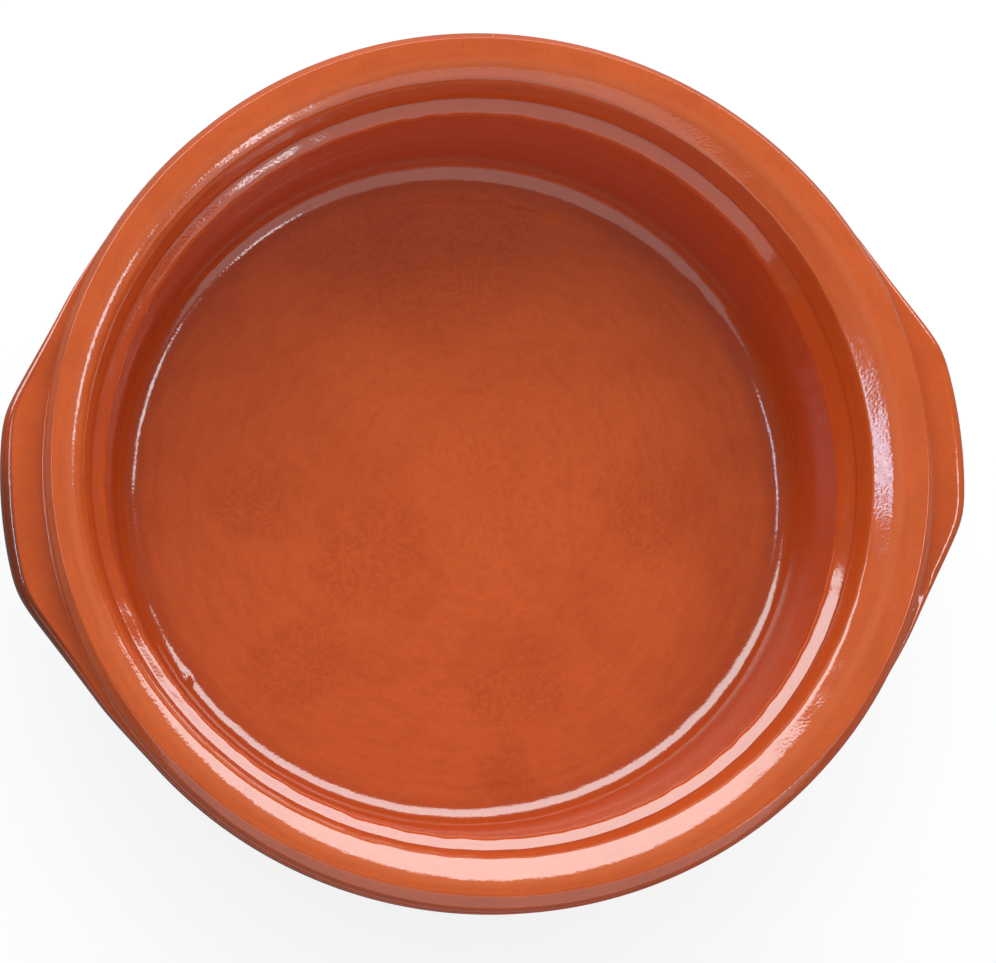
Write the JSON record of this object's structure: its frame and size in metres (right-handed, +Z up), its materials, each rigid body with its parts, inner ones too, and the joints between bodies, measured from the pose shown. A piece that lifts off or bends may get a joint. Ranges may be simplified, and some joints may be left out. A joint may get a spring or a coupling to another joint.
{
  "type": "cazuela",
  "caption": "Round shallow glazed earthenware cooking dish with a thick flat rim and ear lugs on opposite sides.",
  "frame": {"origin": "middle of the underside, where the dish stands on the table", "axes": "+Z up, +X through the middle of the lugs, +Y across them"},
  "size_m": [0.2542, 0.2316, 0.06],
  "materials": {
    "glazed_earthenware": "gloss"
  },
  "bodies": {
    "root": {"cazuela_dish": "glazed_earthenware"}
  },
  "joints": []
}
